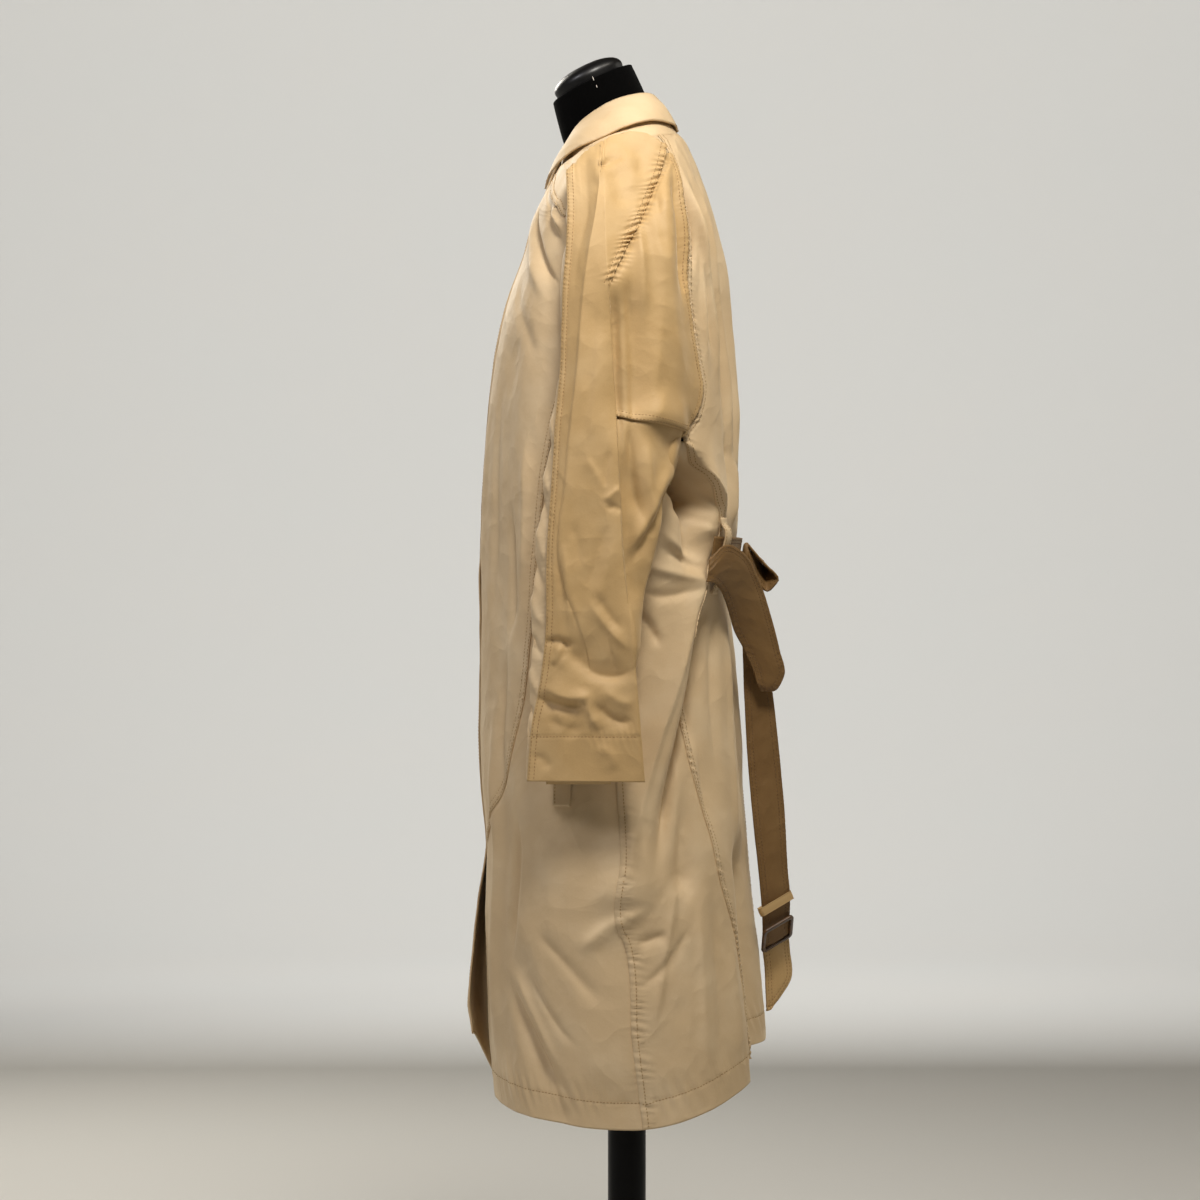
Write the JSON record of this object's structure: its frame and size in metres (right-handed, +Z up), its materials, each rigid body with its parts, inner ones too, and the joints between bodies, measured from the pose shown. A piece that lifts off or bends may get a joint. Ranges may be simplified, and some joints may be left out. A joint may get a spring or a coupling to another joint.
{
  "type": "trench coat on a limbless dress form with a pole and round base",
  "caption": "Belted cotton trench coat with full sleeves and a back-tied belt, standing on a black limbless dress form, pole and round base",
  "frame": {"origin": "on the floor, at the middle of the underside of the round base, under the middle of the pole", "axes": "+Z up the pole; the coat's front faces -Y; the wearer's left is +X"},
  "size_m": [0.5106, 0.45, 1.4909],
  "materials": {
    "coat_cotton": "fine tightly woven cotton gabardine, pale sand, faint sheen",
    "sleeve_cotton": "fine tightly woven cotton gabardine, sand to khaki, faint sheen",
    "belt_cotton": "the same gabardine, two layers, topstitched along both edges",
    "buckle": "brown horn-like resin, satin",
    "form_jersey": "black stretched jersey, matte",
    "form_cap": "black lacquered cap, glossy",
    "stand_paint": "black painted steel, satin"
  },
  "bodies": {
    "root": {"coat_front_left": "coat_cotton", "coat_front_right": "coat_cotton", "coat_side_front_left": "coat_cotton", "coat_side_front_right": "coat_cotton", "coat_side_back_left": "coat_cotton", "coat_side_back_right": "coat_cotton", "coat_back_left": "coat_cotton", "coat_back_right": "coat_cotton", "coat_yoke_left": "coat_cotton", "coat_yoke_right": "coat_cotton", "coat_pocket_welt_left": "coat_cotton", "coat_pocket_welt_right": "coat_cotton", "collar_fall": "coat_cotton", "collar_stand": "coat_cotton", "sleeve_top_left": "sleeve_cotton", "sleeve_top_right": "sleeve_cotton", "sleeve_front_left": "sleeve_cotton", "sleeve_front_right": "sleeve_cotton", "sleeve_back_upper_left": "sleeve_cotton", "sleeve_back_upper_right": "sleeve_cotton", "sleeve_back_lower_left": "sleeve_cotton", "sleeve_back_lower_right": "sleeve_cotton", "sleeve_under_left": "sleeve_cotton", "sleeve_under_right": "sleeve_cotton", "belt_band": "belt_cotton", "belt_knot": "belt_cotton", "belt_bow": "belt_cotton", "belt_drape": "belt_cotton", "belt_end_buckled": "belt_cotton", "belt_end_pointed": "belt_cotton", "belt_keeper": "belt_cotton", "belt_carrier_left": "coat_cotton", "belt_carrier_right": "coat_cotton", "belt_buckle": "buckle", "form_torso": "form_jersey", "form_neck_cap": "form_cap", "stand_pole": "stand_paint", "stand_base": "stand_paint"}
  },
  "joints": []
}
